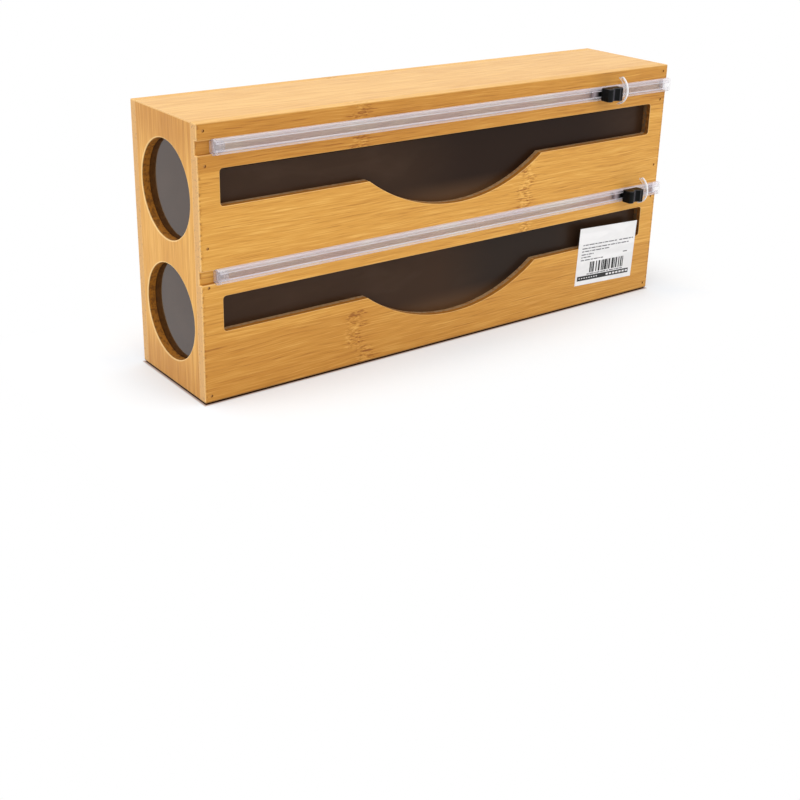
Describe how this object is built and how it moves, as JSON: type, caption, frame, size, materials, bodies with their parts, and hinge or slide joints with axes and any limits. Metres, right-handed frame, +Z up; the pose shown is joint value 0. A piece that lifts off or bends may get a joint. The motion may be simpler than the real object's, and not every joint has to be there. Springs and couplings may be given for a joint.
{
  "type": "wrap dispenser",
  "caption": "Bamboo box for rolls of kitchen wrap, with long windows, round end holes, clear slide-cutter rails on the front and keyholes in the back for hanging on a wall.",
  "frame": {"origin": "middle of the underside of the case", "axes": "+X along the case, towards the end where the sliders park; -Y is the front; +Z is up"},
  "size_m": [0.351, 0.0855, 0.156],
  "materials": {
    "bamboo": "satin lacquer",
    "smoked_acrylic": "polished",
    "clear_plastic": "clear",
    "black_plastic": "satin",
    "blade_steel": "ground",
    "brad_steel": "dull",
    "adhesive_tape": "matt",
    "label_paper": "coated paper"
  },
  "bodies": {
    "case": {"top_board": "bamboo", "bottom_board": "bamboo", "left_end_board": "bamboo", "right_end_board": "bamboo", "shelf": "bamboo", "front_panel": "bamboo", "back_panel": "bamboo", "upper_front_pane": "smoked_acrylic", "lower_front_pane": "smoked_acrylic", "upper_end_pane": "smoked_acrylic", "lower_end_pane": "smoked_acrylic", "upper_rail": "clear_plastic", "lower_rail": "clear_plastic", "upper_rail_left_cap": "clear_plastic", "upper_rail_right_cap": "clear_plastic", "lower_rail_left_cap": "clear_plastic", "lower_rail_right_cap": "clear_plastic", "upper_slider_stop": "clear_plastic", "lower_slider_stop": "clear_plastic", "upper_rail_tape": "adhesive_tape", "lower_rail_tape": "adhesive_tape", "front_brads": "brad_steel", "back_brads": "brad_steel", "paper_label": "label_paper"},
    "upper_slider": {"upper_knob": "black_plastic", "upper_runner": "black_plastic", "upper_blade": "blade_steel"},
    "lower_slider": {"lower_knob": "black_plastic", "lower_runner": "black_plastic", "lower_blade": "blade_steel"}
  },
  "joints": [
    {"name": "upper_cut", "type": "slide", "parent": "case", "child": "upper_slider", "axis": [1, 0, 0], "range_m": [-0.2652, 0.0045]},
    {"name": "lower_cut", "type": "slide", "parent": "case", "child": "lower_slider", "axis": [1, 0, 0], "range_m": [-0.2932, 0.0045]}
  ]
}
